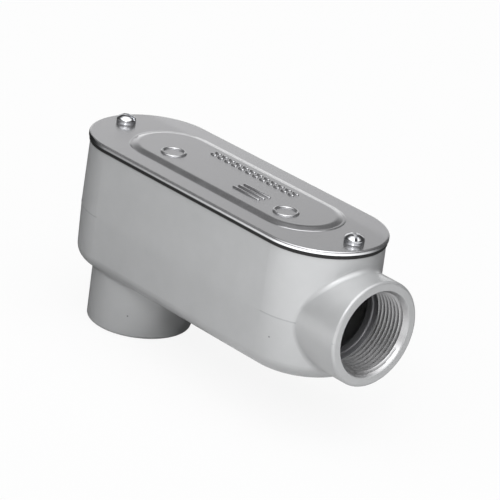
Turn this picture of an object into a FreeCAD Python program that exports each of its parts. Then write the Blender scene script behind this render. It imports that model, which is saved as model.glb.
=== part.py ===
"""Conduit body for 1-1/4 inch threaded conduit: casting, gasket, stamped cover and two screws.

Row frame, in millimetres: the origin is the centre of the back hub's mouth, +X runs towards the
end hub, +Z runs from the back hub's mouth towards the cover.
"""
import FreeCAD, Part
import math
import os
from FreeCAD import Vector

# ---------------------------------------------------------------- hubs and their bores
thread_major_radius = 21.0       # root of the 1-1/4 inch pipe thread at the mouth
thread_length = 20.0             # threaded depth of each hub
throat_radius = 17.5             # smooth bushing past the thread, the bore of the conduit
throat_rounding = 2.0            # rounded edge that a wire slides over
throat_lip = 0.9                 # rounding where the bore narrows behind the thread
mouth_chamfer = 0.35              # broken edge at each mouth
hub_radius = 25.75               # outside of each hub
hub_face_rounding = 1.4          # rounding round each hub's face
hub_blend = 3.0                  # cast fillet where a hub leaves the body

# ---------------------------------------------------------------- cast body
rim_half_width = 30.5            # half the width of the rim under the gasket
rim_length = 180.2               # overall length of the rim
body_height = 61.1               # rim down to the underside of the body
back_hub_height = 28.3           # mouth of the back hub to the underside of the body
back_hub_inset = 36.1            # back hub's axis to the near end of the rim
end_hub_overhang = 12.9          # end hub's face past the far end of the rim
end_hub_depth = 33.0             # rim down to the end hub's axis, where the mould parts
parting_bulge = 0.55             # draft: how far the wall stands out at the parting line
underside_rounding = 7.5         # outside rounding along the bottom
wall = 3.0                       # wall at the rim, and the floor
cavity_draft = 0.8               # how much narrower the cavity is at its floor
cavity_rounding = 5.0            # inside rounding along the floor
end_bushing = 5.4                # length of the smooth bushing inside the end hub

# ---------------------------------------------------------------- screw bosses and screws
screw_inset = 9.8                # screw axis to the end of the cover
boss_radius = 5.5
boss_height = 13.0               # rim down to the underside of a boss
boss_chamfer = 3.0
tapped_depth = 11.0              # rim down to the bottom of a tapped hole
screw_radius = 2.4               # outside of a number 10 thread
screw_length = 12.7              # under the head
screw_point = 0.8                # bevel at the tip
thread_clearance = 0.08          # screw in its tapped hole
hole_clearance = 0.45            # screw in the cover and the gasket
head_radius = 4.75
head_wall = 2.4                  # straight side of the head
head_dome = 1.5                  # dome above it
head_top_radius = 2.2            # flat centre of the dome
slot_width = 1.4
slot_depth = 1.9
slot_angles = (20.0, -35.0)      # degrees from +X, each screw as it was driven home

# ---------------------------------------------------------------- gasket and cover
cover_overhang = 0.9             # cover past the rim, all round
gasket_overhang = 0.5            # gasket past the rim, all round
gasket_thickness = 1.9
gasket_lip = 1.0                 # gasket past the rim's inner edge
sheet = 1.9                      # cover's sheet
cover_edge_rounding = 0.9
panel_length = 131.0             # raised panel, over its foot
panel_half_width = 20.9
panel_slope = 3.4                # width of the slope round the panel
panel_rise = 1.0
panel_bend = 5.0                 # radius of the panel's soft bends

# ---------------------------------------------------------------- plain raised marks on the panel
mark_height = 0.35
ring_radius = 6.0
ring_width = 0.9
ring_offsets = (-37.5, 42.4)     # along the cover, from its middle
ring_side = -6.6                 # across the cover, from its middle
bar_width = 1.1
bar_length = 3.4
bar_gap = 1.6
bar_count = 12
bar_row_side = 13.0              # across the cover, from its middle
block_offset = 17.4              # middle of the three short rules, along the cover
block_side = -5.6
rule_length = 18.0
rule_pitch = 3.4
rule_count = 3

# ---------------------------------------------------------------- places worked out from the sizes
rim_z = back_hub_height + body_height
floor_z = back_hub_height + wall
end_axis_z = rim_z - end_hub_depth
middle_x = rim_length / 2 - back_hub_inset
straight = rim_length / 2 - rim_half_width
end_face_x = middle_x + rim_length / 2 + end_hub_overhang
end_inner_x = end_face_x - thread_length - end_bushing
gasket_z = rim_z + gasket_thickness
cover_z = gasket_z + sheet
cover_half_width = rim_half_width + cover_overhang
screw_offset = straight + cover_half_width - screw_inset
screw_places = (middle_x - screw_offset, middle_x + screw_offset)
panel_straight = panel_length / 2 - panel_half_width
panel_foot = panel_half_width + panel_slope / 2
boss_reach = rim_half_width - wall


def toward(start, end, distance):
    """Point at a distance from start, on the way to end."""
    step = end - start
    return start + step * (distance / step.Length)


def profile(corners):
    """Closed face in the XZ plane through (x, z, rounding) corners, each rounded by an arc."""
    points = [Vector(x, 0, z) for x, z, _ in corners]
    edges = []
    runs = []
    for index, corner in enumerate(points):
        before = points[index - 1]
        after = points[(index + 1) % len(points)]
        rounding = corners[index][2]
        if rounding == 0:
            runs.append((corner, corner))
            continue
        half_angle = (before - corner).getAngle(after - corner) / 2
        tangent = rounding / math.tan(half_angle)
        first = toward(corner, before, tangent)
        last = toward(corner, after, tangent)
        inward = toward(corner, (first + last) * 0.5, rounding / math.sin(half_angle))
        middle = toward(inward, corner, rounding)
        edges.append(Part.Arc(first, middle, last).toShape())
        runs.append((first, last))
    for index, run in enumerate(runs):
        following = runs[(index + 1) % len(runs)]
        if (following[0] - run[1]).Length > 1e-6:
            edges.append(Part.makeLine(run[1], following[0]))
    return Part.Face(Part.Wire(Part.__sortEdges__(edges)))


def turned(corners, x=0.0, y=0.0):
    """Solid of revolution about a vertical axis at (x, y)."""
    solid = profile(corners).revolve(Vector(0, 0, 0), Vector(0, 0, 1), 360)
    solid.translate(Vector(x, y, 0))
    return solid


def along_x(solid, x, z):
    """The same solid laid over so that its +Z runs along +X, from the point (x, 0, z)."""
    laid = solid.copy()
    laid.rotate(Vector(0, 0, 0), Vector(0, 1, 0), 90)
    laid.translate(Vector(x, 0, z))
    return laid


def obround(corners, half_straight):
    """Solid with the same section all round an obround centred on the body's middle.

    The corners run from the axis outwards, x being the distance from the obround's spine.
    """
    section = profile(corners)
    ends = []
    for side in (-1, 1):
        end = section.copy()
        end.rotate(Vector(0, 0, 0), Vector(0, 0, 1), -90 * side)
        end = end.revolve(Vector(0, 0, 0), Vector(0, 0, 1), 180)
        end.translate(Vector(middle_x + side * half_straight, 0, 0))
        ends.append(end)
    straights = []
    for side in (-1, 1):
        run = section.copy()
        run.rotate(Vector(0, 0, 0), Vector(0, 0, 1), 90 * side)
        run.translate(Vector(middle_x - half_straight, 0, 0))
        straights.append(run.extrude(Vector(2 * half_straight, 0, 0)))
    return straights[0].fuse(straights[1:] + ends).removeSplitter()


def box(x_low, x_high, y_low, y_high, z_low, z_high):
    """Rectangular block between two corners."""
    return Part.makeBox(
        x_high - x_low, y_high - y_low, z_high - z_low, Vector(x_low, y_low, z_low))


def hub(length):
    """Outside of a hub with its face at z = 0, reaching up to z = length."""
    return turned([
        (0, 0, 0), (hub_radius, 0, hub_face_rounding), (hub_radius, length, 0), (0, length, 0)])


def hub_bore(length):
    """Everything cut from a hub, from its mouth at z = 0 to the bushing's end at z = length."""
    past = 1.0
    flare = throat_radius + throat_rounding
    return turned([
        (0, -past, 0),
        (thread_major_radius + mouth_chamfer + past, -past, 0),
        (thread_major_radius, mouth_chamfer, 0),
        (thread_major_radius, thread_length, 0),
        (throat_radius, thread_length, throat_lip),
        (throat_radius, length, throat_rounding * 0.999),
        (flare, length, 0),
        (flare, length + past, 0),
        (0, length + past, 0)])


def on_hub(edge, radius, axis_point, axis):
    """Whether an edge lies all along a hub's outside."""
    for step in range(5):
        first, last = edge.ParameterRange
        point = edge.valueAt(first + (last - first) * step / 4)
        if abs(point.distanceToLine(axis_point, axis) - radius) > 1e-3:
            return False
    return True


def blended(shape, axis_point, axis, face_at):
    """The shape with the edges where one hub leaves the body filleted."""
    edges = []
    for edge in shape.Edges:
        centre = edge.CenterOfMass
        past_face = abs((centre - axis_point).dot(axis) - face_at) > hub_face_rounding + 1
        straight_edge = edge.Curve.TypeId == "Part::GeomLine"
        if past_face and not straight_edge and on_hub(edge, hub_radius, axis_point, axis):
            edges.append(edge)
    return shape.makeFillet(hub_blend, edges)


def outside():
    """The casting as a full block: drafted body, both hubs and the fillets at their roots."""
    body = obround([
        (0, back_hub_height, 0),
        (rim_half_width, back_hub_height, underside_rounding),
        (rim_half_width + parting_bulge, end_axis_z, 0),
        (rim_half_width, rim_z, 0),
        (0, rim_z, 0)], straight)
    back = hub(floor_z)
    end = along_x(hub(end_face_x - middle_x), 0, 0)
    end.rotate(Vector(0, 0, 0), Vector(0, 0, 1), 180)
    end.translate(Vector(end_face_x, 0, end_axis_z))
    block = body.fuse([back, end]).removeSplitter()
    block = blended(block, Vector(0, 0, 0), Vector(0, 0, 1), 0)
    return blended(block, Vector(0, 0, end_axis_z), Vector(1, 0, 0), end_face_x)


def boss(x):
    """A screw boss that grows out of the end wall nearest to it."""
    low = rim_z - boss_height
    post = turned([
        (0, low, 0), (boss_radius - boss_chamfer, low, 0),
        (boss_radius, low + boss_chamfer, 0), (boss_radius, rim_z, 0), (0, rim_z, 0)], x)
    away = math.copysign(boss_radius + wall, x - middle_x)
    web = box(min(x, x + away), max(x, x + away), -boss_radius, boss_radius,
              low + boss_chamfer, rim_z)
    return post.fuse(web)


def casting():
    """One-piece cast body: shell, hubs with their bushings, and the two tapped bosses."""
    past = 5.0
    cavity = obround([
        (0, floor_z, 0),
        (rim_half_width - wall - cavity_draft, floor_z, cavity_rounding),
        (rim_half_width - wall, rim_z, 0),
        (rim_half_width - wall, rim_z + past, 0),
        (0, rim_z + past, 0)], straight)
    inner_end = along_x(Part.makeCylinder(hub_radius, end_face_x - end_inner_x),
                        end_inner_x, end_axis_z)
    cavity = cavity.cut([inner_end] + [boss(x) for x in screw_places])
    end_bore = along_x(hub_bore(thread_length + end_bushing), 0, 0)
    end_bore.rotate(Vector(0, 0, 0), Vector(0, 0, 1), 180)
    end_bore.translate(Vector(end_face_x, 0, end_axis_z))
    cuts = [cavity, hub_bore(floor_z), end_bore]
    for x in screw_places:
        cuts.append(Part.makeCylinder(screw_radius + thread_clearance, tapped_depth + past,
                                      Vector(x, 0, rim_z - tapped_depth)))
    return outside().cut(cuts)


def screw_holes(low, high):
    """Clearance holes for both screws between two heights."""
    return [Part.makeCylinder(screw_radius + hole_clearance, high - low, Vector(x, 0, low))
            for x in screw_places]


def gasket():
    """Flat ring that follows the rim, with a lobe round each screw."""
    outer = rim_half_width + gasket_overhang
    inner = boss_reach - gasket_lip
    ring = obround([(inner, rim_z, 0), (outer, rim_z, 0),
                    (outer, gasket_z, 0), (inner, gasket_z, 0)], straight)
    lobe_radius = boss_radius + gasket_lip
    lobes = []
    for x in screw_places:
        lobes.append(Part.makeCylinder(lobe_radius, gasket_thickness, Vector(x, 0, rim_z)))
        wall_x = math.copysign(boss_radius, x - middle_x) + x
        lobes.append(box(min(x, wall_x), max(x, wall_x), -lobe_radius, lobe_radius,
                         rim_z, gasket_z))
    return ring.fuse(lobes).removeSplitter().cut(screw_holes(rim_z - 1, gasket_z + 1))


def panel(base_z):
    """Raised obround panel whose slope starts at base_z, with a strip of the flange round it."""
    top = base_z + panel_rise
    return obround([
        (0, base_z - sheet / 2, 0),
        (panel_foot, base_z - sheet / 2, 0),
        (panel_foot, base_z, 0),
        (panel_half_width, base_z, panel_bend),
        (panel_half_width - panel_slope, top, panel_bend),
        (0, top, 0)], panel_straight)


def panel_marks():
    """Plain raised rings, a row of bars and three short rules on the panel's top."""
    low = cover_z + panel_rise
    marks = []
    for offset in ring_offsets:
        centre = Vector(middle_x + offset, ring_side, low)
        ring = Part.makeCylinder(ring_radius, mark_height, centre)
        marks.append(ring.cut(Part.makeCylinder(ring_radius - ring_width, mark_height, centre)))
    pitch = bar_length + bar_gap
    for index in range(bar_count):
        x = middle_x + (index - (bar_count - 1) / 2) * pitch
        marks.append(box(x - bar_length / 2, x + bar_length / 2,
                         bar_row_side - bar_width / 2, bar_row_side + bar_width / 2,
                         low, low + mark_height))
    for index in range(rule_count):
        x = middle_x + block_offset
        y = block_side + (index - (rule_count - 1) / 2) * rule_pitch
        marks.append(box(x - rule_length / 2, x + rule_length / 2,
                         y - bar_width / 2, y + bar_width / 2, low, low + mark_height))
    return marks


def cover():
    """Stamped sheet cover: level flange, raised hollow panel, screw holes."""
    plate = obround([
        (0, gasket_z, 0), (cover_half_width, gasket_z, 0),
        (cover_half_width, cover_z, cover_edge_rounding), (0, cover_z, 0)], straight)
    raised = plate.fuse(panel(cover_z))
    hollow = obround([
        (0, gasket_z - 1, 0),
        (panel_half_width, gasket_z - 1, 0),
        (panel_half_width, gasket_z, 0),
        (panel_half_width - panel_slope, gasket_z + panel_rise, 0),
        (0, gasket_z + panel_rise, 0)], panel_straight)
    pierced = raised.cut([hollow] + screw_holes(gasket_z - 1, cover_z + 1))
    return pierced.fuse(panel_marks()).removeSplitter()


def cover_screw(x, slot_angle):
    """Slotted pan-head screw seated on the cover at x."""
    tip = cover_z - screw_length
    head_top = cover_z + head_wall + head_dome
    blank = profile([
        (0, tip, 0),
        (screw_radius - screw_point, tip, 0),
        (screw_radius, tip + screw_point, 0),
        (screw_radius, cover_z, 0),
        (head_radius, cover_z, 0),
        (head_radius, cover_z + head_wall, 1.0),
        (head_top_radius, head_top, 1.0),
        (0, head_top, 0)]).revolve(Vector(0, 0, 0), Vector(0, 0, 1), 360)
    slot = box(-head_radius, head_radius, -slot_width / 2, slot_width / 2,
               head_top - slot_depth, head_top + 1)
    slot.rotate(Vector(0, 0, 0), Vector(0, 0, 1), slot_angle)
    screw = blank.cut(slot)
    screw.translate(Vector(x, 0, 0))
    return screw


nodes = {
    "body_casting": casting(),
    "cover_gasket": gasket(),
    "cover": cover(),
    "cover_screw_back": cover_screw(screw_places[0], slot_angles[0]),
    "cover_screw_end": cover_screw(screw_places[1], slot_angles[1]),
}

os.makedirs("parts", exist_ok=True)
for name, shape in nodes.items():
    solids = shape.Solids
    solid = solids[0] if len(solids) == 1 else Part.makeCompound(solids)
    solid.exportStep("parts/" + name + ".step")
    bounds = solid.BoundBox
    print(name, len(solids), "solid", round(solid.Volume, 1), "mm3",
          [round(value, 2) for value in (bounds.XMin, bounds.YMin, bounds.ZMin,
                                         bounds.XMax, bounds.YMax, bounds.ZMax)],
          solid.isValid())
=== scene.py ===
"""Conduit body: the looks of its casting, threads, gasket, cover and screws, on the frame of its solids.

Everything is in metres, in the part's own frame: the origin is the centre of the back hub's mouth,
+X runs towards the end hub's mouth and +Z towards the cover.
"""
import logging
import math
from dataclasses import dataclass
from enum import Enum
from typing import Any, Dict, List, Optional, Sequence, Tuple

import bmesh
import bpy
from mathutils import Matrix, Vector


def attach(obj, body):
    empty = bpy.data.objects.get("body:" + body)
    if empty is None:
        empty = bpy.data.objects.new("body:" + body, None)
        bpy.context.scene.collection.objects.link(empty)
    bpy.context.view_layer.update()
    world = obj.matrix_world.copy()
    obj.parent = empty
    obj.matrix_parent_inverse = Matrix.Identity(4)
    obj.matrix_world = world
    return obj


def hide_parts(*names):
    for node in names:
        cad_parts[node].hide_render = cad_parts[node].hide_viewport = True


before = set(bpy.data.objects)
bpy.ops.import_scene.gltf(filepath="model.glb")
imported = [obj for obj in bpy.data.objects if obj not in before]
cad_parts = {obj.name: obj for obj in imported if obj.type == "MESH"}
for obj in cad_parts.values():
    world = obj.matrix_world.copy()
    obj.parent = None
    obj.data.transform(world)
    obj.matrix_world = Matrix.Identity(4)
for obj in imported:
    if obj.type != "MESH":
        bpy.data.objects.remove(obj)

logging.basicConfig(level=logging.INFO, format="%(message)s")
log = logging.getLogger("conduit_body")

MM = 0.001
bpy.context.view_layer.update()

HUB_MOUTH = 157.0 * MM      # x of the end hub's mouth
HUB_AXIS = 56.4 * MM        # height of the end hub's axis
COVER_MIDDLE = 54.0 * MM    # x of the cover's middle
FLANGE_TOP = 93.2 * MM      # height of the cover's flange

MERGE = 0.001 * MM          # vertices nearer than this are one
SPARE_TURNS = 2             # turns of thread past each end, before the ends are cut off
NOISE_LOW, NOISE_HIGH = 0.3, 0.7    # the range that holds most of a noise pattern

# A Mix node's sockets go by number, because their names repeat.
COLOUR_A, COLOUR_B, COLOUR_OUT = 6, 7, 2
VALUE_A, VALUE_B = 2, 3

Colour = Tuple[float, float, float, float]
Point = Tuple[float, float, float]
Profile = Sequence[Tuple[float, float]]
Pairs = Tuple[Tuple[float, float], ...]


class Slot(Enum):
    """Names for material slots, which nothing in this script uses."""

    CASTING = "enamelled_casting"
    COVER = "enamelled_cover"
    SCREW = "zinc_plated_screw"


class Body(Enum):
    """Bodies that the pieces move with."""

    CASTING = "casting"
    COVER = "cover"
    SCREW_BACK = "screw_back"
    SCREW_END = "screw_end"


# ------------------------------------------------------------------ shared helpers
def linear(hex_colour: str, gain: float = 1.0) -> Colour:
    """Turn an sRGB hex colour into linear RGBA.

    Args:
        hex_colour: Six hex digits, such as "9a9b9d".
        gain: What the linear colour is multiplied by.

    Returns:
        Linear red, green and blue, with an alpha of 1.
    """
    channels = []
    for start in (0, 2, 4):
        value = int(hex_colour[start:start + 2], 16) / 255
        channels.append(gain * (value / 12.92 if value <= 0.04045 else ((value + 0.055) / 1.055) ** 2.4))
    return (channels[0], channels[1], channels[2], 1.0)


def grey(value: float) -> Colour:
    """Give a neutral linear colour."""
    return (value, value, value, 1.0)


def direction(azimuth: float, elevation: float) -> Vector:
    """Give the unit vector from the fitting towards a compass bearing and a height, in degrees."""
    turn, rise = math.radians(azimuth), math.radians(elevation)
    return Vector((math.sin(turn) * math.cos(rise), -math.cos(turn) * math.cos(rise), math.sin(rise)))


def add_node(tree: bpy.types.NodeTree, kind: str, settings: Optional[Dict[str, Any]] = None,
             inputs: Optional[Dict[Any, Any]] = None) -> bpy.types.Node:
    """Add one node, with its settings made and its inputs set or linked.

    Args:
        tree: The node tree that the node goes in.
        kind: Blender's name for the kind of node.
        settings: Attributes of the node, by name.
        inputs: Sockets by name or number; a socket given as the value is linked, others are set.

    Returns:
        The new node.
    """
    node = tree.nodes.new(kind)
    for name, value in (settings or {}).items():
        setattr(node, name, value)
    for name, value in (inputs or {}).items():
        if isinstance(value, bpy.types.NodeSocket):
            tree.links.new(value, node.inputs[name])
        else:
            node.inputs[name].default_value = value
    return node


def wire(shape: bmesh.types.BMesh, points: Profile) -> List[bmesh.types.BMEdge]:
    """Draw a profile of (radius, height) points in the plane y = 0.

    Args:
        shape: The bmesh that the profile goes in.
        points: The profile's points, in order.

    Returns:
        The profile's edges.
    """
    verts = [shape.verts.new((radius, 0, height)) for radius, height in points]
    return [shape.edges.new(pair) for pair in zip(verts, verts[1:])]


def lathe(profile: Profile, steps: int) -> bmesh.types.BMesh:
    """Turn a profile once round the z axis.

    Args:
        profile: Points of (radius, height), in order.
        steps: Facets in the turn.

    Returns:
        The turned shape.
    """
    shape = bmesh.new()
    edges = wire(shape, profile)
    bmesh.ops.spin(shape, geom=list(shape.verts) + edges, cent=(0, 0, 0), axis=(0, 0, 1),
                   angle=2 * math.pi, steps=steps, use_merge=True)
    return shape


def wind_thread(section: Profile, pitch: float, length: float, way: int,
                steps: int) -> bmesh.types.BMesh:
    """Sweep a thread's section along a helix round the z axis, with spare turns past both ends.

    Args:
        section: One turn's points of (radius, share of the pitch), which start at the root.
        pitch: Distance from turn to turn.
        length: Length of thread that is wanted, from z = 0.
        way: 1 where the thread runs up from there, -1 where it runs down.
        steps: Facets in a turn.

    Returns:
        The thread, open at both ends.
    """
    shape = bmesh.new()
    turns = int(length / pitch) + 2 * SPARE_TURNS
    points = [(radius, way * (count + share - SPARE_TURNS) * pitch)
              for count in range(turns) for radius, share in section]
    points.append((section[0][0], way * (turns - SPARE_TURNS) * pitch))
    edges = wire(shape, points)
    bmesh.ops.spin(shape, geom=list(shape.verts) + edges, cent=(0, 0, 0), axis=(0, 0, 1),
                   dvec=(0, 0, pitch / steps), angle=2 * math.pi, steps=steps, use_merge=False)
    bmesh.ops.remove_doubles(shape, verts=shape.verts, dist=MERGE)
    return shape


def everything(shape: bmesh.types.BMesh) -> List[Any]:
    """List all the vertices, edges and faces."""
    return list(shape.verts) + list(shape.edges) + list(shape.faces)


def trim(shape: bmesh.types.BMesh, height: float, side: int) -> None:
    """Cut off what lies above a height, for a side of 1, or below it, for a side of -1."""
    bmesh.ops.bisect_plane(shape, geom=everything(shape), plane_co=(0, 0, height),
                           plane_no=(0, 0, side), clear_outer=True)


def join(shape: bmesh.types.BMesh, part: bmesh.types.BMesh) -> None:
    """Add a part to a shape.

    Args:
        shape: The shape that grows.
        part: What is added to it, which is freed.
    """
    carried = bpy.data.meshes.new("carried")
    part.to_mesh(carried)
    part.free()
    shape.from_mesh(carried)
    bpy.data.meshes.remove(carried)


def finish_mesh(shape: bmesh.types.BMesh, name: str, smooth_angle: float) -> bpy.types.Object:
    """Turn a bmesh into a linked object with outward faces and smooth shading.

    Args:
        shape: The shape, which is freed.
        name: Name of the object and its mesh.
        smooth_angle: Edges that turn by more than this, in degrees, stay sharp.

    Returns:
        The new object, at the origin.
    """
    bmesh.ops.recalc_face_normals(shape, faces=shape.faces)
    for face in shape.faces:
        face.smooth = True
    mesh = bpy.data.meshes.new(name)
    shape.to_mesh(mesh)
    shape.free()
    mesh.set_sharp_from_angle(angle=math.radians(smooth_angle))
    made = bpy.data.objects.new(name, mesh)
    bpy.context.scene.collection.objects.link(made)
    return made


def dress(made: bpy.types.Object, finish: bpy.types.Material) -> None:
    """Give a piece one finish."""
    made.data.materials.clear()
    made.data.materials.append(finish)


# ------------------------------------------------------------------ finishes
@dataclass(frozen=True)
class Finish:
    """What a surface is made of, with the slight unevenness that its making left."""

    name: str
    colour: str
    roughness: float

    def start(self) -> Tuple[bpy.types.Material, bpy.types.Node, bpy.types.NodeSocket]:
        """Start the material.

        Returns:
            The material, its surface shader, and the place on the piece in metres.
        """
        material = bpy.data.materials.new(self.name)
        material.use_nodes = True
        tree = material.node_tree
        place = add_node(tree, "ShaderNodeTexCoord").outputs["Object"]
        return material, tree.nodes["Principled BSDF"], place

    def mottle(self, material: bpy.types.Material, pattern: bpy.types.NodeSocket,
               gains: Tuple[float, float], roughening: Tuple[float, float] = (0.0, 0.0)) -> None:
        """Vary the colour and the roughness with a noise pattern.

        Args:
            material: The material.
            pattern: The noise, from 0 to 1.
            gains: What the colour is multiplied by where the noise is 0 and where it is 1.
            roughening: What is added to the roughness where the noise is low and where it is high.
        """
        tree = material.node_tree
        shader = tree.nodes["Principled BSDF"]
        tone = add_node(tree, "ShaderNodeMix", {"data_type": "RGBA"},
                        {"Factor": pattern, COLOUR_A: linear(self.colour, gains[0]),
                         COLOUR_B: linear(self.colour, gains[1])})
        rough = add_node(tree, "ShaderNodeMapRange", {},
                         {"Value": pattern, "From Min": NOISE_LOW, "From Max": NOISE_HIGH,
                          "To Min": self.roughness + roughening[0],
                          "To Max": self.roughness + roughening[1]})
        tree.links.new(tone.outputs[COLOUR_OUT], shader.inputs["Base Color"])
        tree.links.new(rough.outputs[0], shader.inputs["Roughness"])


@dataclass(frozen=True)
class AluminiumEnamel(Finish):
    """Baked enamel with fine aluminium flake, sprayed over metal.

    The flakes are a few hundredths of a millimetre wide, too fine to draw one by one. They make the
    enamel part metallic: a broad soft sheen, brightest where it faces the light. The spray leaves a
    faint orange peel between 1 and 2 mm across.
    """

    metallic: float
    gloss: float
    gloss_roughness: float
    peel: float
    peel_height: float
    cloud: float = 9 * MM

    def build(self) -> bpy.types.Material:
        """Build the enamel.

        Returns:
            The material.
        """
        material, shader, place = self.start()
        tree = material.node_tree
        cloud = add_node(tree, "ShaderNodeTexNoise", {},
                         {"Vector": place, "Scale": 1 / self.cloud, "Detail": 3.0})
        self.mottle(material, cloud.outputs["Fac"], gains=(0.94, 1.06), roughening=(-0.03, 0.03))
        shader.inputs["Metallic"].default_value = self.metallic
        shader.inputs["Coat Weight"].default_value = self.gloss
        shader.inputs["Coat Roughness"].default_value = self.gloss_roughness
        peel = add_node(tree, "ShaderNodeTexNoise", {},
                        {"Vector": place, "Scale": 1 / self.peel, "Detail": 2.0})
        bump = add_node(tree, "ShaderNodeBump", {},
                        {"Height": peel.outputs["Fac"], "Strength": 1.0, "Distance": self.peel_height})
        tree.links.new(bump.outputs[0], shader.inputs["Normal"])
        return material


@dataclass(frozen=True)
class CastEnamel(AluminiumEnamel):
    """The enamel on the die casting.

    The bores are painted darker inside, a painted shade where the light doesn't reach in, and the skin
    has two small pinholes where gas lay under it, drawn as dark spots of painted shade.
    """

    name: str = "flake_enamel_on_casting"
    colour: str = "b0b1b2"
    roughness: float = 0.42
    metallic: float = 0.33
    gloss: float = 0.5
    gloss_roughness: float = 0.14
    peel: float = 1.4 * MM
    peel_height: float = 0.01 * MM
    # Painted shade: the bores and the pinholes take this darker grey.
    bare_metal_and_painted_shade_colour: str = "77777a"
    painted_shade_radius: float = 20.9 * MM
    painted_shade_depth: float = 62.0 * MM
    pinholes: Tuple[Point, ...] = (
        (14.8 * MM, -21.1 * MM, 11.0 * MM), (120.6 * MM, -30.1 * MM, 46.0 * MM))
    pinhole_radius: float = 0.42 * MM
    soft_edge: float = 0.1 * MM

    def build(self) -> bpy.types.Material:
        """Build the enamel, then paint shade into the bores and the pinholes.

        Returns:
            The material.
        """
        material = super().build()
        tree = material.node_tree
        shader = tree.nodes["Principled BSDF"]
        painted = shader.inputs["Base Color"].links[0].from_socket
        place = add_node(tree, "ShaderNodeTexCoord").outputs["Object"]
        # Painted shade mask: 1 in the bores and the pinholes, where the colour is mixed towards the
        # darker grey.
        bare_and_painted_dark = add_node(tree, "ShaderNodeMath", {"operation": "MAXIMUM"},
                        {0: self.bore(tree, place, (HUB_MOUTH, 0.0, HUB_AXIS), (0.0, 1.0, 1.0)),
                         1: self.bore(tree, place, (0.0, 0.0, 0.0), (1.0, 1.0, 0.0))})
        for spot in self.pinholes:
            away = add_node(tree, "ShaderNodeVectorMath", {"operation": "DISTANCE"}, {0: place, 1: spot})
            bare_and_painted_dark = add_node(tree, "ShaderNodeMath", {"operation": "MAXIMUM"},
                            {0: bare_and_painted_dark.outputs[0],
                             1: self.within(tree, away.outputs["Value"], self.pinhole_radius)})
        tone = add_node(tree, "ShaderNodeMix", {"data_type": "RGBA"},
                        {"Factor": bare_and_painted_dark.outputs[0], COLOUR_A: painted,
                         COLOUR_B: linear(self.bare_metal_and_painted_shade_colour)})
        tree.links.new(tone.outputs[COLOUR_OUT], shader.inputs["Base Color"])
        return material

    def bore(self, tree: bpy.types.NodeTree, place: bpy.types.NodeSocket, mouth: Point,
             across: Point) -> bpy.types.NodeSocket:
        """Mask a hub's bore.

        Args:
            tree: The node tree.
            place: The place on the piece.
            mouth: Centre of the bore's mouth.
            across: 1 for each axis that runs across the bore and 0 for the one along it.

        Returns:
            1 inside the bore and 0 outside it.
        """
        offset = add_node(tree, "ShaderNodeVectorMath", {"operation": "SUBTRACT"}, {0: place, 1: mouth})
        flat = add_node(tree, "ShaderNodeVectorMath", {"operation": "MULTIPLY"},
                        {0: offset.outputs[0], 1: across})
        radius = add_node(tree, "ShaderNodeVectorMath", {"operation": "LENGTH"}, {0: flat.outputs[0]})
        reach = add_node(tree, "ShaderNodeVectorMath", {"operation": "LENGTH"}, {0: offset.outputs[0]})
        inside = add_node(tree, "ShaderNodeMath", {"operation": "MULTIPLY"},
                          {0: self.within(tree, radius.outputs["Value"], self.painted_shade_radius),
                           1: self.within(tree, reach.outputs["Value"], self.painted_shade_depth)})
        return inside.outputs[0]

    def within(self, tree: bpy.types.NodeTree, value: bpy.types.NodeSocket,
               limit: float) -> bpy.types.NodeSocket:
        """Mask what is under a limit.

        Args:
            tree: The node tree.
            value: The measure.
            limit: Where it steps, with a soft edge on both sides.

        Returns:
            1 under the limit and 0 over it.
        """
        step = add_node(tree, "ShaderNodeMapRange", {},
                        {"Value": value, "From Min": limit - self.soft_edge,
                         "From Max": limit + self.soft_edge, "To Min": 1.0, "To Max": 0.0})
        return step.outputs[0]


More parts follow.
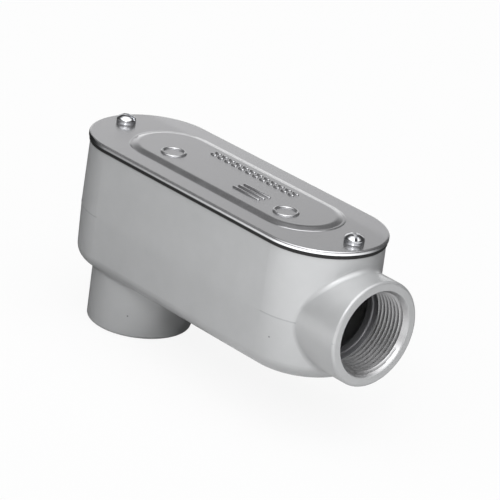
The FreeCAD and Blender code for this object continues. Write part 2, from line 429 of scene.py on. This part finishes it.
@dataclass(frozen=True)
class SheetEnamel(AluminiumEnamel):
    """The same enamel sprayed on one side of zinc-coated sheet.

    The sheared edge and the underside stay bare: bright zinc below the height ``enamel_from``. Round
    the back end the edge is painted nearly black, a painted dark reflection. Along one side of the
    flange the colour is painted lighter, a painted sheen.
    """

    name: str = "flake_enamel_on_sheet"
    colour: str = "adadaf"
    roughness: float = 0.24
    metallic: float = 0.85
    gloss: float = 0.3
    gloss_roughness: float = 0.1
    peel: float = 1.8 * MM
    peel_height: float = 0.004 * MM
    enamel_from: float = 92.25 * MM
    waver: float = 0.3 * MM
    waver_length: float = 3 * MM
    bare_metal_and_painted_shade_colour: str = "dcdddf"
    bare_roughness: float = 0.28
    # Painted dark reflection round the back end of the cover's edge.
    painted_dark_reflection_colour: str = "2e2e30"
    painted_dark_reflection_from: float = -3.0 * MM
    painted_dark_reflection_full: float = -19.0 * MM
    painted_dark_reflection_rise: float = 0.8 * MM
    # Painted sheen: the flange's far side is made lighter by this gain.
    painted_sheen_from: float = 15.0 * MM
    painted_sheen_full: float = 22.0 * MM
    painted_sheen_gain: float = 1.17

    def build(self) -> bpy.types.Material:
        """Build the enamel with a painted sheen along one side, leave the edge bare, and paint the edge
        dark round the back end.

        Returns:
            The material.
        """
        material = super().build()
        tree = material.node_tree
        enamel = tree.nodes["Principled BSDF"]
        output = next(node for node in tree.nodes if node.type == "OUTPUT_MATERIAL")
        place = add_node(tree, "ShaderNodeTexCoord").outputs["Object"]
        length, width, height = add_node(tree, "ShaderNodeSeparateXYZ", {}, {0: place}).outputs
        # Painted sheen: the colour is scaled up across the far side of the flange.
        painted_sheen = add_node(tree, "ShaderNodeMapRange", {"interpolation_type": "SMOOTHSTEP"},
                        {"Value": width, "From Min": self.painted_sheen_from, "From Max": self.painted_sheen_full,
                         "To Min": 1.0, "To Max": self.painted_sheen_gain})
        colour_with_painted_sheen = add_node(tree, "ShaderNodeVectorMath", {"operation": "SCALE"},
                           {0: enamel.inputs["Base Color"].links[0].from_socket,
                            "Scale": painted_sheen.outputs[0]})
        tree.links.new(colour_with_painted_sheen.outputs[0], enamel.inputs["Base Color"])
        # Painted dark reflection: towards the back end the bare edge is mixed to near black, and the
        # bare band rises there.
        painted_dark_reflection_mask = add_node(tree, "ShaderNodeMapRange", {"interpolation_type": "SMOOTHSTEP"},
                         {"Value": length, "From Min": self.painted_dark_reflection_full, "From Max": self.painted_dark_reflection_from,
                          "To Min": 1.0, "To Max": 0.0})
        waver = add_node(tree, "ShaderNodeTexNoise", {},
                         {"Vector": place, "Scale": 1 / self.waver_length})
        wavering = add_node(tree, "ShaderNodeMath", {"operation": "MULTIPLY_ADD"},
                            {0: waver.outputs["Fac"], 1: self.waver,
                             2: self.enamel_from - self.waver / 2})
        edge = add_node(tree, "ShaderNodeMath", {"operation": "MULTIPLY_ADD"},
                        {0: painted_dark_reflection_mask.outputs[0], 1: self.painted_dark_reflection_rise, 2: wavering.outputs[0]})
        painted = add_node(tree, "ShaderNodeMath", {"operation": "GREATER_THAN"},
                           {0: height, 1: edge.outputs[0]})
        edge_tone = add_node(tree, "ShaderNodeMix", {"data_type": "RGBA"},
                             {"Factor": painted_dark_reflection_mask.outputs[0], COLOUR_A: linear(self.bare_metal_and_painted_shade_colour),
                              COLOUR_B: linear(self.painted_dark_reflection_colour)})
        bare_and_painted_dark = add_node(tree, "ShaderNodeBsdfPrincipled", {},
                        {"Base Color": edge_tone.outputs[COLOUR_OUT], "Metallic": 1.0,
                         "Roughness": self.bare_roughness})
        mixed = add_node(tree, "ShaderNodeMixShader", {},
                         {0: painted.outputs[0], 1: bare_and_painted_dark.outputs[0], 2: enamel.outputs[0]})
        tree.links.new(mixed.outputs[0], output.inputs["Surface"])
        return material


@dataclass(frozen=True)
class CutAluminium(Finish):
    """Die-cast aluminium where the tap has cut it: bare dull metal with a fine uneven chatter."""

    name: str = "tapped_aluminium"
    colour: str = "b8b8b9"
    roughness: float = 0.46
    chatter: float = 0.9 * MM

    def build(self) -> bpy.types.Material:
        """Build the cut metal.

        Returns:
            The material.
        """
        material, shader, place = self.start()
        chatter = add_node(material.node_tree, "ShaderNodeTexNoise", {},
                           {"Vector": place, "Scale": 1 / self.chatter, "Detail": 2.0})
        self.mottle(material, chatter.outputs["Fac"], gains=(0.8, 1.15), roughening=(-0.06, 0.08))
        shader.inputs["Metallic"].default_value = 1.0
        return material


@dataclass(frozen=True)
class Neoprene(Finish):
    """Black die-cut neoprene sheet: nearly matt, with a fine even grain."""

    name: str = "die_cut_neoprene"
    colour: str = "101010"
    roughness: float = 0.75
    grain: float = 0.4 * MM
    grain_height: float = 0.03 * MM

    def build(self) -> bpy.types.Material:
        """Build the rubber.

        Returns:
            The material.
        """
        material, shader, place = self.start()
        tree = material.node_tree
        grain = add_node(tree, "ShaderNodeTexNoise", {}, {"Vector": place, "Scale": 1 / self.grain})
        self.mottle(material, grain.outputs["Fac"], gains=(0.8, 1.3))
        bump = add_node(tree, "ShaderNodeBump", {},
                        {"Height": grain.outputs["Fac"], "Strength": 0.5, "Distance": self.grain_height})
        tree.links.new(bump.outputs[0], shader.inputs["Normal"])
        return material


@dataclass(frozen=True)
class BrightZinc(Finish):
    """Bright electroplated zinc on steel: mirror-like, with a faint mottle in its polish."""

    name: str = "bright_zinc_plate"
    colour: str = "d2d3d6"
    roughness: float = 0.16
    patch: float = 1.2 * MM

    def build(self) -> bpy.types.Material:
        """Build the plating.

        Returns:
            The material.
        """
        material, shader, place = self.start()
        patches = add_node(material.node_tree, "ShaderNodeTexNoise", {},
                           {"Vector": place, "Scale": 1 / self.patch})
        self.mottle(material, patches.outputs["Fac"], gains=(0.9, 1.0), roughening=(-0.04, 0.06))
        shader.inputs["Metallic"].default_value = 1.0
        return material


# ------------------------------------------------------------------ casting
@dataclass
class HubThread:
    """Tapered pipe thread cut inside a hub, from its mouth to the bushing.

    ``taper`` and ``countersink_slope`` are what the radius loses on the way in, as shares of the
    way. ``section`` holds one turn as shares of the thread's depth, inwards from its root, and of
    the pitch.
    """

    name: str
    mouth: Point
    inward: Point
    pitch: float = 25.4 / 11.5 * MM
    major_radius: float = 21.0 * MM
    depth: float = 1.77 * MM
    taper: float = 1 / 32
    start: float = 0.35 * MM
    length: float = 17.6 * MM
    countersink_depth: float = 1.3 * MM
    countersink_slope: float = 0.7
    embedded: float = 0.02 * MM
    steps: int = 112
    section: Pairs = (
        (0.0, 0.0), (0.0, 0.09), (0.14, 0.15), (0.86, 0.46),
        (1.0, 0.52), (1.0, 0.58), (0.86, 0.64), (0.14, 0.94))

    def build(self, finish: bpy.types.Material) -> bpy.types.Object:
        """Cut the thread.

        Args:
            finish: What the thread is made of.

        Returns:
            The threaded sleeve, whose back lies just inside the hub's wall.
        """
        turn = [(self.major_radius - depth * self.depth, share) for depth, share in self.section]
        shape = wind_thread(turn, self.pitch, self.length, 1, self.steps)
        for vert in shape.verts:
            radius = vert.co.xy.length
            tapered = radius - self.taper * vert.co.z
            countersunk = self.major_radius - (vert.co.z - self.start) * self.countersink_slope
            in_countersink = vert.co.z < self.start + self.countersink_depth
            vert.co.xy *= (countersunk if in_countersink else max(tapered, countersunk)) / radius
        trim(shape, self.start, -1)
        trim(shape, self.length, 1)
        rims = [edge for edge in shape.edges if edge.is_boundary]
        outer = bmesh.ops.extrude_edge_only(shape, edges=rims)["geom"]
        for vert in (item for item in outer if isinstance(item, bmesh.types.BMVert)):
            vert.co.xy *= (self.major_radius + self.embedded) / vert.co.xy.length
        bmesh.ops.bridge_loops(shape, edges=[edge for edge in shape.edges if edge.is_boundary])
        turned = Vector(self.inward).to_track_quat("Z", "Y").to_matrix().to_4x4()
        bmesh.ops.transform(shape, matrix=Matrix.Translation(self.mouth) @ turned, verts=shape.verts)
        made = finish_mesh(shape, self.name, smooth_angle=32)
        dress(made, finish)
        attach(made, Body.CASTING.value)
        return made


@dataclass
class PartingSeam:
    """Low bead that the die's two halves leave on the casting, level with the end hub's axis.

    It is linished away between each pair of x in ``linished``, along the flat sides and the hub, so
    it shows at both rounded ends.
    """

    level: float = HUB_AXIS
    half_width: float = 0.32 * MM
    proud: float = 0.09 * MM
    outer_reach: float = 29.5 * MM
    bore_clear: float = 23.0 * MM
    straight_start: float = -5.6 * MM
    straight_end: float = 113.6 * MM
    linished: Pairs = (
        (14.0 * MM, 104.0 * MM), (137.0 * MM, 155.6 * MM), (156.8 * MM, 158.0 * MM))

    def is_left(self, point: Vector) -> bool:
        """Tell the casting's outer skin, where the bead was left, from its chamber and bores.

        Args:
            point: A place on the casting at the bead's level.

        Returns:
            Whether the bead is left there.
        """
        if any(start < point.x < end for start, end in self.linished):
            return False
        nearest = min(max(point.x, self.straight_start), self.straight_end)
        outside = math.hypot(point.x - nearest, point.y) > self.outer_reach
        return outside and (abs(point.y) > self.bore_clear or point.x < self.straight_start)

    def build(self, finish: bpy.types.Material) -> bpy.types.Object:
        """Raise the bead on a strip of the casting's own skin.

        Args:
            finish: The casting's enamel in a darker grey, a painted shade along the bead.

        Returns:
            The bead.
        """
        shape = bmesh.new()
        shape.from_mesh(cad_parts["body_casting"].data)
        bmesh.ops.remove_doubles(shape, verts=shape.verts, dist=MERGE)
        trim(shape, self.level - self.half_width, -1)
        trim(shape, self.level + self.half_width, 1)
        bmesh.ops.bisect_plane(shape, geom=everything(shape), plane_co=(0, 0, self.level),
                               plane_no=(0, 0, 1), dist=2 * MERGE)
        spare = [face for face in shape.faces if not self.is_left(face.calc_center_median())]
        bmesh.ops.delete(shape, geom=spare, context="FACES")
        shape.normal_update()
        for vert in shape.verts:
            if abs(vert.co.z - self.level) < 10 * MERGE:
                vert.co += Vector((vert.normal.x, vert.normal.y, 0)).normalized() * self.proud
        made = finish_mesh(shape, "parting_seam", smooth_angle=30)
        dress(made, finish)
        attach(made, Body.CASTING.value)
        return made


# ------------------------------------------------------------------ cover
@dataclass
class CoverMarks:
    """Plain raised beads pressed into the cover's panel: two rings, two rows of dashes and three rules.

    Places are (x, y) from the middle of the panel. ``ball_rings`` and ``ball_sunk`` are those of the
    unit ball that a straight bead starts from: its rings, and what is kept of it below its middle.
    """

    panel_top: float = 94.2 * MM
    bead_width: float = 1.6 * MM
    bead_height: float = 0.75 * MM
    bead_steps: int = 10
    ring_radius: float = 5.55 * MM
    ring_steps: int = 72
    ring_places: Pairs = ((-37.5 * MM, -6.6 * MM), (42.4 * MM, -6.6 * MM))
    ball_rings: int = 12
    ball_sunk: float = 0.01
    dash_count: int = 12
    dash_length: float = 3.9 * MM
    dash_pitch: float = 5.0 * MM
    dash_sides: Tuple[float, float] = (13.0 * MM, 10.0 * MM)
    rule_length: float = 18.5 * MM
    rule_pitch: float = 3.4 * MM
    rule_place: Tuple[float, float] = (17.4 * MM, -5.6 * MM)

    def ring(self) -> bmesh.types.BMesh:
        """Shape one ring, whose section is a half ellipse.

        Returns:
            The ring, round the origin.
        """
        turns = [math.pi * step / self.bead_steps for step in range(self.bead_steps + 1)]
        return lathe([(self.ring_radius - self.bead_width / 2 * math.cos(turn),
                       self.bead_height * math.sin(turn)) for turn in turns], self.ring_steps)

    def stroke(self, length: float) -> bmesh.types.BMesh:
        """Shape one straight bead with round ends: a flattened half ball, parted and stretched.

        Args:
            length: Its length along x, over its ends.

        Returns:
            The bead, round the origin.
        """
        part = bmesh.new()
        bmesh.ops.create_uvsphere(part, u_segments=2 * self.bead_steps, v_segments=self.ball_rings,
                                  radius=1.0)
        trim(part, -self.ball_sunk, -1)
        bmesh.ops.scale(part, vec=(self.bead_width / 2, self.bead_width / 2, self.bead_height),
                        verts=part.verts)
        reach = (length - self.bead_width) / 2
        for vert in (vert for vert in part.verts if abs(vert.co.x) > MERGE):
            vert.co.x += math.copysign(reach, vert.co.x)
        return part

    def press(self, shape: bmesh.types.BMesh, part: bmesh.types.BMesh, x: float, y: float) -> None:
        """Move a bead to its place on the panel and add it to the rest.

        Args:
            shape: All the beads so far.
            part: The bead, which is freed.
            x: Its place along the panel.
            y: Its place across the panel.
        """
        bmesh.ops.translate(part, verts=part.verts, vec=(COVER_MIDDLE + x, y, self.panel_top - MERGE))
        join(shape, part)

    def build(self, finish: bpy.types.Material) -> bpy.types.Object:
        """Press all the beads.

        Args:
            finish: The cover's enamel.

        Returns:
            The beads as one piece.
        """
        shape = bmesh.new()
        for x, y in self.ring_places:
            self.press(shape, self.ring(), x, y)
        for side in self.dash_sides:
            for index in range(self.dash_count):
                along = (index - (self.dash_count - 1) / 2) * self.dash_pitch
                self.press(shape, self.stroke(self.dash_length), along, side)
        along, side = self.rule_place
        for index in (-1, 0, 1):
            self.press(shape, self.stroke(self.rule_length), along, side + index * self.rule_pitch)
        made = finish_mesh(shape, "cover_marks", smooth_angle=60)
        dress(made, finish)
        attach(made, Body.COVER.value)
        return made


@dataclass
class PanelFoot:
    """Narrow ledge that the press leaves round the panel's two rounded ends, with a crisp outer edge.

    It runs out along the straight sides, where the sheet isn't drawn round a corner. ``section``
    holds (distance out from the foot, rise), and ``fade`` is the share of the radius it fades over.
    """

    foot_radius: float = 20.9 * MM
    half_straight: float = 44.6 * MM
    section: Pairs = (
        (-0.9 * MM, 0.0), (-0.85 * MM, 0.22 * MM), (0.35 * MM, 0.26 * MM), (0.46 * MM, 0.23 * MM),
        (0.57 * MM, 0.14 * MM), (0.67 * MM, 0.04 * MM), (0.74 * MM, -0.01 * MM))
    fade: float = 0.5
    sunk: float = 0.3 * MM
    steps: int = 128

    def build(self, finish: bpy.types.Material) -> bpy.types.Object:
        """Press the ledge: a turned ring, parted in the middle and stretched to the panel's length.

        Args:
            finish: The cover's enamel.

        Returns:
            The ledge.
        """
        shape = lathe([(self.foot_radius + out, rise) for out, rise in self.section], self.steps)
        bmesh.ops.rotate(shape, verts=shape.verts, cent=(0, 0, 0),
                         matrix=Matrix.Rotation(math.pi / self.steps, 3, "Z"))
        for vert in shape.verts:
            share = min(abs(vert.co.x) / (self.foot_radius * self.fade), 1.0)
            vert.co.z = vert.co.z * share - self.sunk * (1 - share)
            vert.co.x += math.copysign(self.half_straight, vert.co.x)
        bmesh.ops.translate(shape, verts=shape.verts, vec=(COVER_MIDDLE, 0, FLANGE_TOP))
        made = finish_mesh(shape, "cover_panel_foot", smooth_angle=40)
        dress(made, finish)
        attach(made, Body.COVER.value)
        return made


# ------------------------------------------------------------------ screws
@dataclass
class CoverScrew:
    """Slotted pan-head machine screw with a rolled thread and a tapered tip.

    ``section`` holds one turn of the thread as shares of its depth, out from its root, and of the
    pitch. ``tip_least`` keeps the spare turns past the tip from turning inside out.
    """

    node: str
    body: Body
    place: float
    slot_turn: float
    head_radius: float = 4.75 * MM
    head_wall: float = 2.4 * MM
    head_dome: float = 1.5 * MM
    head_top_radius: float = 2.2 * MM
    head_round: float = 0.9 * MM
    head_round_steps: int = 6
    head_steps: int = 64
    slot_width: float = 1.4 * MM
    slot_depth: float = 1.9 * MM
    slot_ease: float = 0.12 * MM
    slot_ease_steps: int = 2
    slot_ease_angle: float = 40.0
    cutter_length: float = 12.0 * MM
    cutter_height: float = 6.0 * MM
    shank_length: float = 12.7 * MM
    shank_sunk: float = 0.3 * MM
    thread_radius: float = 2.38 * MM
    thread_depth: float = 0.52 * MM
    tip_length: float = 1.1 * MM
    tip_radius: float = 1.4 * MM
    tip_least: float = 1.116 * MM
    pitch: float = 25.4 / 24 * MM
    steps: int = 48
    section: Pairs = ((0.0, 0.0), (0.0, 0.12), (1.0, 0.5), (1.0, 0.62))

    def is_corner(self, edge: bmesh.types.BMEdge) -> bool:
        """Tell the level rings where the head's wall, dome and top meet from its other edges.

        Args:
            edge: An edge of the head's blank.

        Returns:
            Whether it is part of such a ring.
        """
        one, other = (vert.co for vert in edge.verts)
        level = abs(one.z - other.z) < 0.1 * MERGE
        off_the_seat = one.z > self.head_wall / 2
        off_the_axis = min(one.xy.length, other.xy.length) > self.head_top_radius / 2
        return level and off_the_seat and off_the_axis

    def head(self) -> bpy.types.Object:
        """Turn the head's blank and round its corners.

        Returns:
            The blank, which stands on z = 0.
        """
        top = self.head_wall + self.head_dome
        shape = lathe([(0, 0), (self.head_radius, 0), (self.head_radius, self.head_wall),
                       (self.head_top_radius, top), (0, top)], self.head_steps)
        bmesh.ops.remove_doubles(shape, verts=shape.verts, dist=MERGE)
        corners = [edge for edge in shape.edges if self.is_corner(edge)]
        bmesh.ops.bevel(shape, geom=corners, offset=self.head_round, offset_type="OFFSET",
                        affect="EDGES", segments=self.head_round_steps, profile=0.5, material=-1)
        return finish_mesh(shape, self.node + "_blank", smooth_angle=60)

    def cutter(self) -> bpy.types.Object:
        """Make the bar that cuts the slot.

        Returns:
            The bar, whose underside is the slot's floor.
        """
        shape = bmesh.new()
        bmesh.ops.create_cube(shape, size=1.0)
        bmesh.ops.scale(shape, vec=(self.cutter_length, self.slot_width, self.cutter_height),
                        verts=shape.verts)
        floor = self.head_wall + self.head_dome - self.slot_depth
        bmesh.ops.translate(shape, verts=shape.verts, vec=(0, 0, floor + self.cutter_height / 2))
        return finish_mesh(shape, self.node + "_cutter", smooth_angle=30)

    def slotted_head(self) -> bmesh.types.BMesh:
        """Cut the slot in the blank and ease its edges.

        Returns:
            The head, which stands on z = 0.
        """
        blank, cutter = self.head(), self.cutter()
        cut = blank.modifiers.new("slot", "BOOLEAN")
        cut.object = cutter
        cut.solver = "EXACT"
        ease = blank.modifiers.new("ease", "BEVEL")
        ease.width = self.slot_ease
        ease.segments = self.slot_ease_steps
        ease.limit_method = "ANGLE"
        ease.angle_limit = math.radians(self.slot_ease_angle)
        ready = blank.evaluated_get(bpy.context.evaluated_depsgraph_get())
        shape = bmesh.new()
        shape.from_mesh(ready.to_mesh())
        ready.to_mesh_clear()
        for spare in (blank, cutter):
            mesh = spare.data
            bpy.data.objects.remove(spare)
            bpy.data.meshes.remove(mesh)
        return shape

    def shank(self) -> bmesh.types.BMesh:
        """Roll the thread and taper its tip.

        Returns:
            The shank, which hangs from just above z = 0.
        """
        root = self.thread_radius - self.thread_depth
        turn = [(root + depth * self.thread_depth, share) for depth, share in self.section]
        shape = wind_thread(turn, self.pitch, self.shank_length, -1, self.steps)
        for vert in shape.verts:
            above_tip, radius = self.shank_length + vert.co.z, vert.co.xy.length
            limit = self.tip_radius + above_tip
            if above_tip < self.tip_length and radius > limit:
                vert.co.xy *= max(limit, self.tip_least) / radius
        trim(shape, self.shank_sunk, 1)
        trim(shape, -self.shank_length, -1)
        bmesh.ops.holes_fill(shape, edges=[edge for edge in shape.edges if edge.is_boundary], sides=0)
        return shape

    def build(self, finish: bpy.types.Material) -> bpy.types.Object:
        """Make the screw in place of its solid.

        Args:
            finish: The plating.

        Returns:
            The screw.
        """
        shape = self.slotted_head()
        join(shape, self.shank())
        turned = Matrix.Rotation(math.radians(self.slot_turn), 4, "Z")
        moved = Matrix.Translation((self.place, 0, FLANGE_TOP))
        bmesh.ops.transform(shape, matrix=moved @ turned, verts=shape.verts)
        made = finish_mesh(shape, self.node + "_plated", smooth_angle=40)
        dress(made, finish)
        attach(made, self.body.value)
        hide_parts(self.node)
        return made


# ------------------------------------------------------------------ studio
@dataclass(frozen=True)
class Viewpoint:
    """Camera aimed at the fitting from above its end hub, a long way off.

    Its angles are in degrees and its lens in millimetres.
    """

    azimuth: float = 45.3605
    elevation: float = 21.7213
    roll: float = 8.1897
    distance: float = 1.39446
    lens: float = 214.79
    aim: Point = (70.14 * MM, 0.0, 63.78 * MM)
    near: float = 0.05
    far: float = 50.0

    def build(self) -> bpy.types.Object:
        """Create the camera and make it the scene's own.

        Returns:
            The camera.
        """
        back = direction(self.azimuth, self.elevation)
        turn = math.radians(self.azimuth)
        right = Vector((math.cos(turn), math.sin(turn), 0))
        up = back.cross(right)
        lean = math.radians(self.roll)
        across = right * math.cos(lean) + up * math.sin(lean)
        upward = up * math.cos(lean) - right * math.sin(lean)
        data = bpy.data.cameras.new("camera")
        data.lens = self.lens
        data.clip_start = self.near
        data.clip_end = self.far
        camera = bpy.data.objects.new("camera", data)
        bpy.context.scene.collection.objects.link(camera)
        facing = Matrix((across, upward, back)).transposed().to_4x4()
        camera.matrix_world = Matrix.Translation(Vector(self.aim) + back * self.distance) @ facing
        bpy.context.scene.camera = camera
        return camera


@dataclass(frozen=True)
class Softbox:
    """Square lamp with a diffuser, aimed at the middle of the fitting; its power is in watts."""

    name: str
    azimuth: float
    elevation: float
    distance: float
    size: float
    power: float
    aim: Point = (60.0 * MM, 0.0, 60.0 * MM)

    def build(self) -> bpy.types.Object:
        """Hang the lamp.

        Returns:
            The lamp.
        """
        data = bpy.data.lights.new(self.name, "AREA")
        data.size = self.size
        data.energy = self.power
        lamp = bpy.data.objects.new(self.name, data)
        bpy.context.scene.collection.objects.link(lamp)
        way = direction(self.azimuth, self.elevation)
        lamp.location = Vector(self.aim) + way * self.distance
        lamp.rotation_euler = way.to_track_quat("Z", "Y").to_euler()
        return lamp


@dataclass(frozen=True)
class Glow:
    """Broad soft patch of light on the studio's walls, ceiling or paper, fading to nothing at its rim.

    The rim is where the cosine of the angle from its middle falls to ``rim``.
    """

    azimuth: float
    elevation: float
    rim: float
    strength: float

    def add(self, tree: bpy.types.NodeTree, way: bpy.types.NodeSocket) -> bpy.types.NodeSocket:
        """Add the glow as nodes.

        Args:
            tree: The node tree that it goes in.
            way: Unit direction that is looked along.

        Returns:
            The glow's strength in that direction.
        """
        nearness = add_node(tree, "ShaderNodeVectorMath", {"operation": "DOT_PRODUCT"},
                            {0: way, 1: direction(self.azimuth, self.elevation)})
        faded = add_node(tree, "ShaderNodeMapRange", {"interpolation_type": "SMOOTHSTEP"},
                         {"Value": nearness.outputs["Value"], "From Min": self.rim, "From Max": 1.0,
                          "To Min": 0.0, "To Max": self.strength})
        return faded.outputs[0]


@dataclass(frozen=True)
class Studio:
    """Pale floor, walls with broad soft glows, and a softbox.

    ``shade_reach`` holds the distances from ``paper_middle`` where the fitting's shade on the paper
    is full and where it ends, and ``shade`` is what it leaves of the light.
    """

    floor_reach: float = 3.0
    floor_level: float = -0.6 * MM
    floor_tone: float = 0.6
    floor_white: float = 0.9
    ambient: float = 0.07
    ceiling: Glow = Glow(azimuth=42, elevation=66, rim=0.44, strength=2.85)
    backdrop: Glow = Glow(azimuth=233, elevation=-8, rim=0.74, strength=1.3)
    paper: Glow = Glow(azimuth=43, elevation=0, rim=-0.4, strength=2.2)
    paper_middle: Point = (60.0 * MM, 0.0, 0.0)
    shade_reach: Tuple[float, float] = (0.08, 0.24)
    shade: float = 0.32
    softbox: Softbox = Softbox(
        "front_softbox", azimuth=40, elevation=36, distance=1.6, size=0.34, power=4.4)

    def build(self) -> None:
        """Set the whole stage."""
        self.floor()
        self.surroundings()
        self.softbox.build()
        bpy.context.scene.view_settings.view_transform = "Standard"

    def floor(self) -> None:
        """Lay white paper just under the back hub.

        The eye sees most of it as plain white. Reflections see it bright in front, where the light
        falls on it, and in shade close to the fitting and behind it.
        """
        shape = bmesh.new()
        bmesh.ops.create_grid(shape, x_segments=1, y_segments=1, size=self.floor_reach)
        bmesh.ops.translate(shape, verts=shape.verts, vec=(0, 0, self.floor_level))
        floor = finish_mesh(shape, "floor", smooth_angle=30)
        material = bpy.data.materials.new("white_paper")
        material.use_nodes = True
        tree = material.node_tree
        tree.nodes.clear()
        rays = add_node(tree, "ShaderNodeLightPath")
        place = add_node(tree, "ShaderNodeTexCoord")
        offset = add_node(tree, "ShaderNodeVectorMath", {"operation": "SUBTRACT"},
                          {0: place.outputs["Object"], 1: self.paper_middle})
        level = add_node(tree, "ShaderNodeVectorMath", {"operation": "MULTIPLY"},
                         {0: offset.outputs[0], 1: (1, 1, 0)})
        way = add_node(tree, "ShaderNodeVectorMath", {"operation": "NORMALIZE"}, {0: level.outputs[0]})
        reach = add_node(tree, "ShaderNodeVectorMath", {"operation": "LENGTH"}, {0: level.outputs[0]})
        shaded = add_node(tree, "ShaderNodeMapRange", {"interpolation_type": "SMOOTHSTEP"},
                          {"Value": reach.outputs["Value"], "From Min": self.shade_reach[0],
                           "From Max": self.shade_reach[1], "To Min": self.shade, "To Max": 1.0})
        lit = add_node(tree, "ShaderNodeMath", {"operation": "MULTIPLY"},
                       {0: self.paper.add(tree, way.outputs[0]), 1: shaded.outputs[0]})
        strength = add_node(tree, "ShaderNodeMix", {"data_type": "FLOAT"},
                            {0: rays.outputs["Is Camera Ray"], VALUE_A: lit.outputs[0], VALUE_B: 1.0})
        seen = add_node(tree, "ShaderNodeMath", {"operation": "MAXIMUM"},
                        {0: rays.outputs["Is Camera Ray"], 1: rays.outputs["Is Glossy Ray"]})
        share = add_node(tree, "ShaderNodeMath", {"operation": "MULTIPLY"},
                         {0: seen.outputs[0], 1: self.floor_white})
        paper = add_node(tree, "ShaderNodeBsdfDiffuse", {}, {"Color": grey(self.floor_tone)})
        white = add_node(tree, "ShaderNodeEmission", {},
                         {"Color": grey(1.0), "Strength": strength.outputs[0]})
        mixed = add_node(tree, "ShaderNodeMixShader", {},
                         {0: share.outputs[0], 1: paper.outputs[0], 2: white.outputs[0]})
        add_node(tree, "ShaderNodeOutputMaterial", {}, {"Surface": mixed.outputs[0]})
        dress(floor, material)

    def surroundings(self) -> None:
        """Light the fitting softly from above its front and show the eye plain white."""
        world = bpy.data.worlds.new("studio_walls")
        bpy.context.scene.world = world
        world.use_nodes = True
        tree = world.node_tree
        tree.nodes.clear()
        rays = add_node(tree, "ShaderNodeLightPath")
        way = add_node(tree, "ShaderNodeTexCoord").outputs["Generated"]
        glows = add_node(tree, "ShaderNodeMath", {"operation": "ADD"},
                         {0: self.ceiling.add(tree, way), 1: self.backdrop.add(tree, way)})
        lit = add_node(tree, "ShaderNodeMath", {"operation": "ADD"},
                       {0: glows.outputs[0], 1: self.ambient})
        strength = add_node(tree, "ShaderNodeMix", {"data_type": "FLOAT"},
                            {0: rays.outputs["Is Camera Ray"], VALUE_A: lit.outputs[0], VALUE_B: 1.0})
        light = add_node(tree, "ShaderNodeBackground", {},
                         {"Color": grey(1.0), "Strength": strength.outputs[0]})
        add_node(tree, "ShaderNodeOutputWorld", {}, {"Surface": light.outputs[0]})


def main() -> None:
    """Build the pieces in order and report each one."""
    casting_enamel = CastEnamel().build()
    # The seam's enamel is a darker grey: painted shade along the bead's step.
    seam_enamel_painted_shade = CastEnamel(name="flake_enamel_painted_shade_on_parting_line", colour="a3a4a6").build()
    cover_enamel = SheetEnamel().build()
    rubber = Neoprene().build()
    zinc = BrightZinc().build()
    tapped = CutAluminium().build()
    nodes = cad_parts
    finishes = {"body_casting": casting_enamel, "cover": cover_enamel, "cover_gasket": rubber}
    for name, finish in finishes.items():
        dress(nodes[name], finish)
        log.info("%s: dressed in %s", name, finish.name)
    end_mouth, back_mouth = (HUB_MOUTH, 0.0, HUB_AXIS), (0.0, 0.0, 0.0)
    pieces = [
        HubThread("end_hub_thread", end_mouth, inward=(-1.0, 0.0, 0.0)).build(tapped),
        HubThread("back_hub_thread", back_mouth, inward=(0.0, 0.0, 1.0)).build(tapped),
        PartingSeam().build(seam_enamel_painted_shade),
        PanelFoot().build(cover_enamel),
        CoverMarks().build(cover_enamel),
        CoverScrew("cover_screw_back", Body.SCREW_BACK, place=-27.2 * MM, slot_turn=20).build(zinc),
        CoverScrew("cover_screw_end", Body.SCREW_END, place=135.2 * MM, slot_turn=-35).build(zinc),
    ]
    for piece in pieces:
        log.info("%s: %d faces, %s", piece.name, len(piece.data.polygons), piece.data.materials[0].name)
    Viewpoint().build()
    Studio().build()


if __name__ == "__main__":
    main()
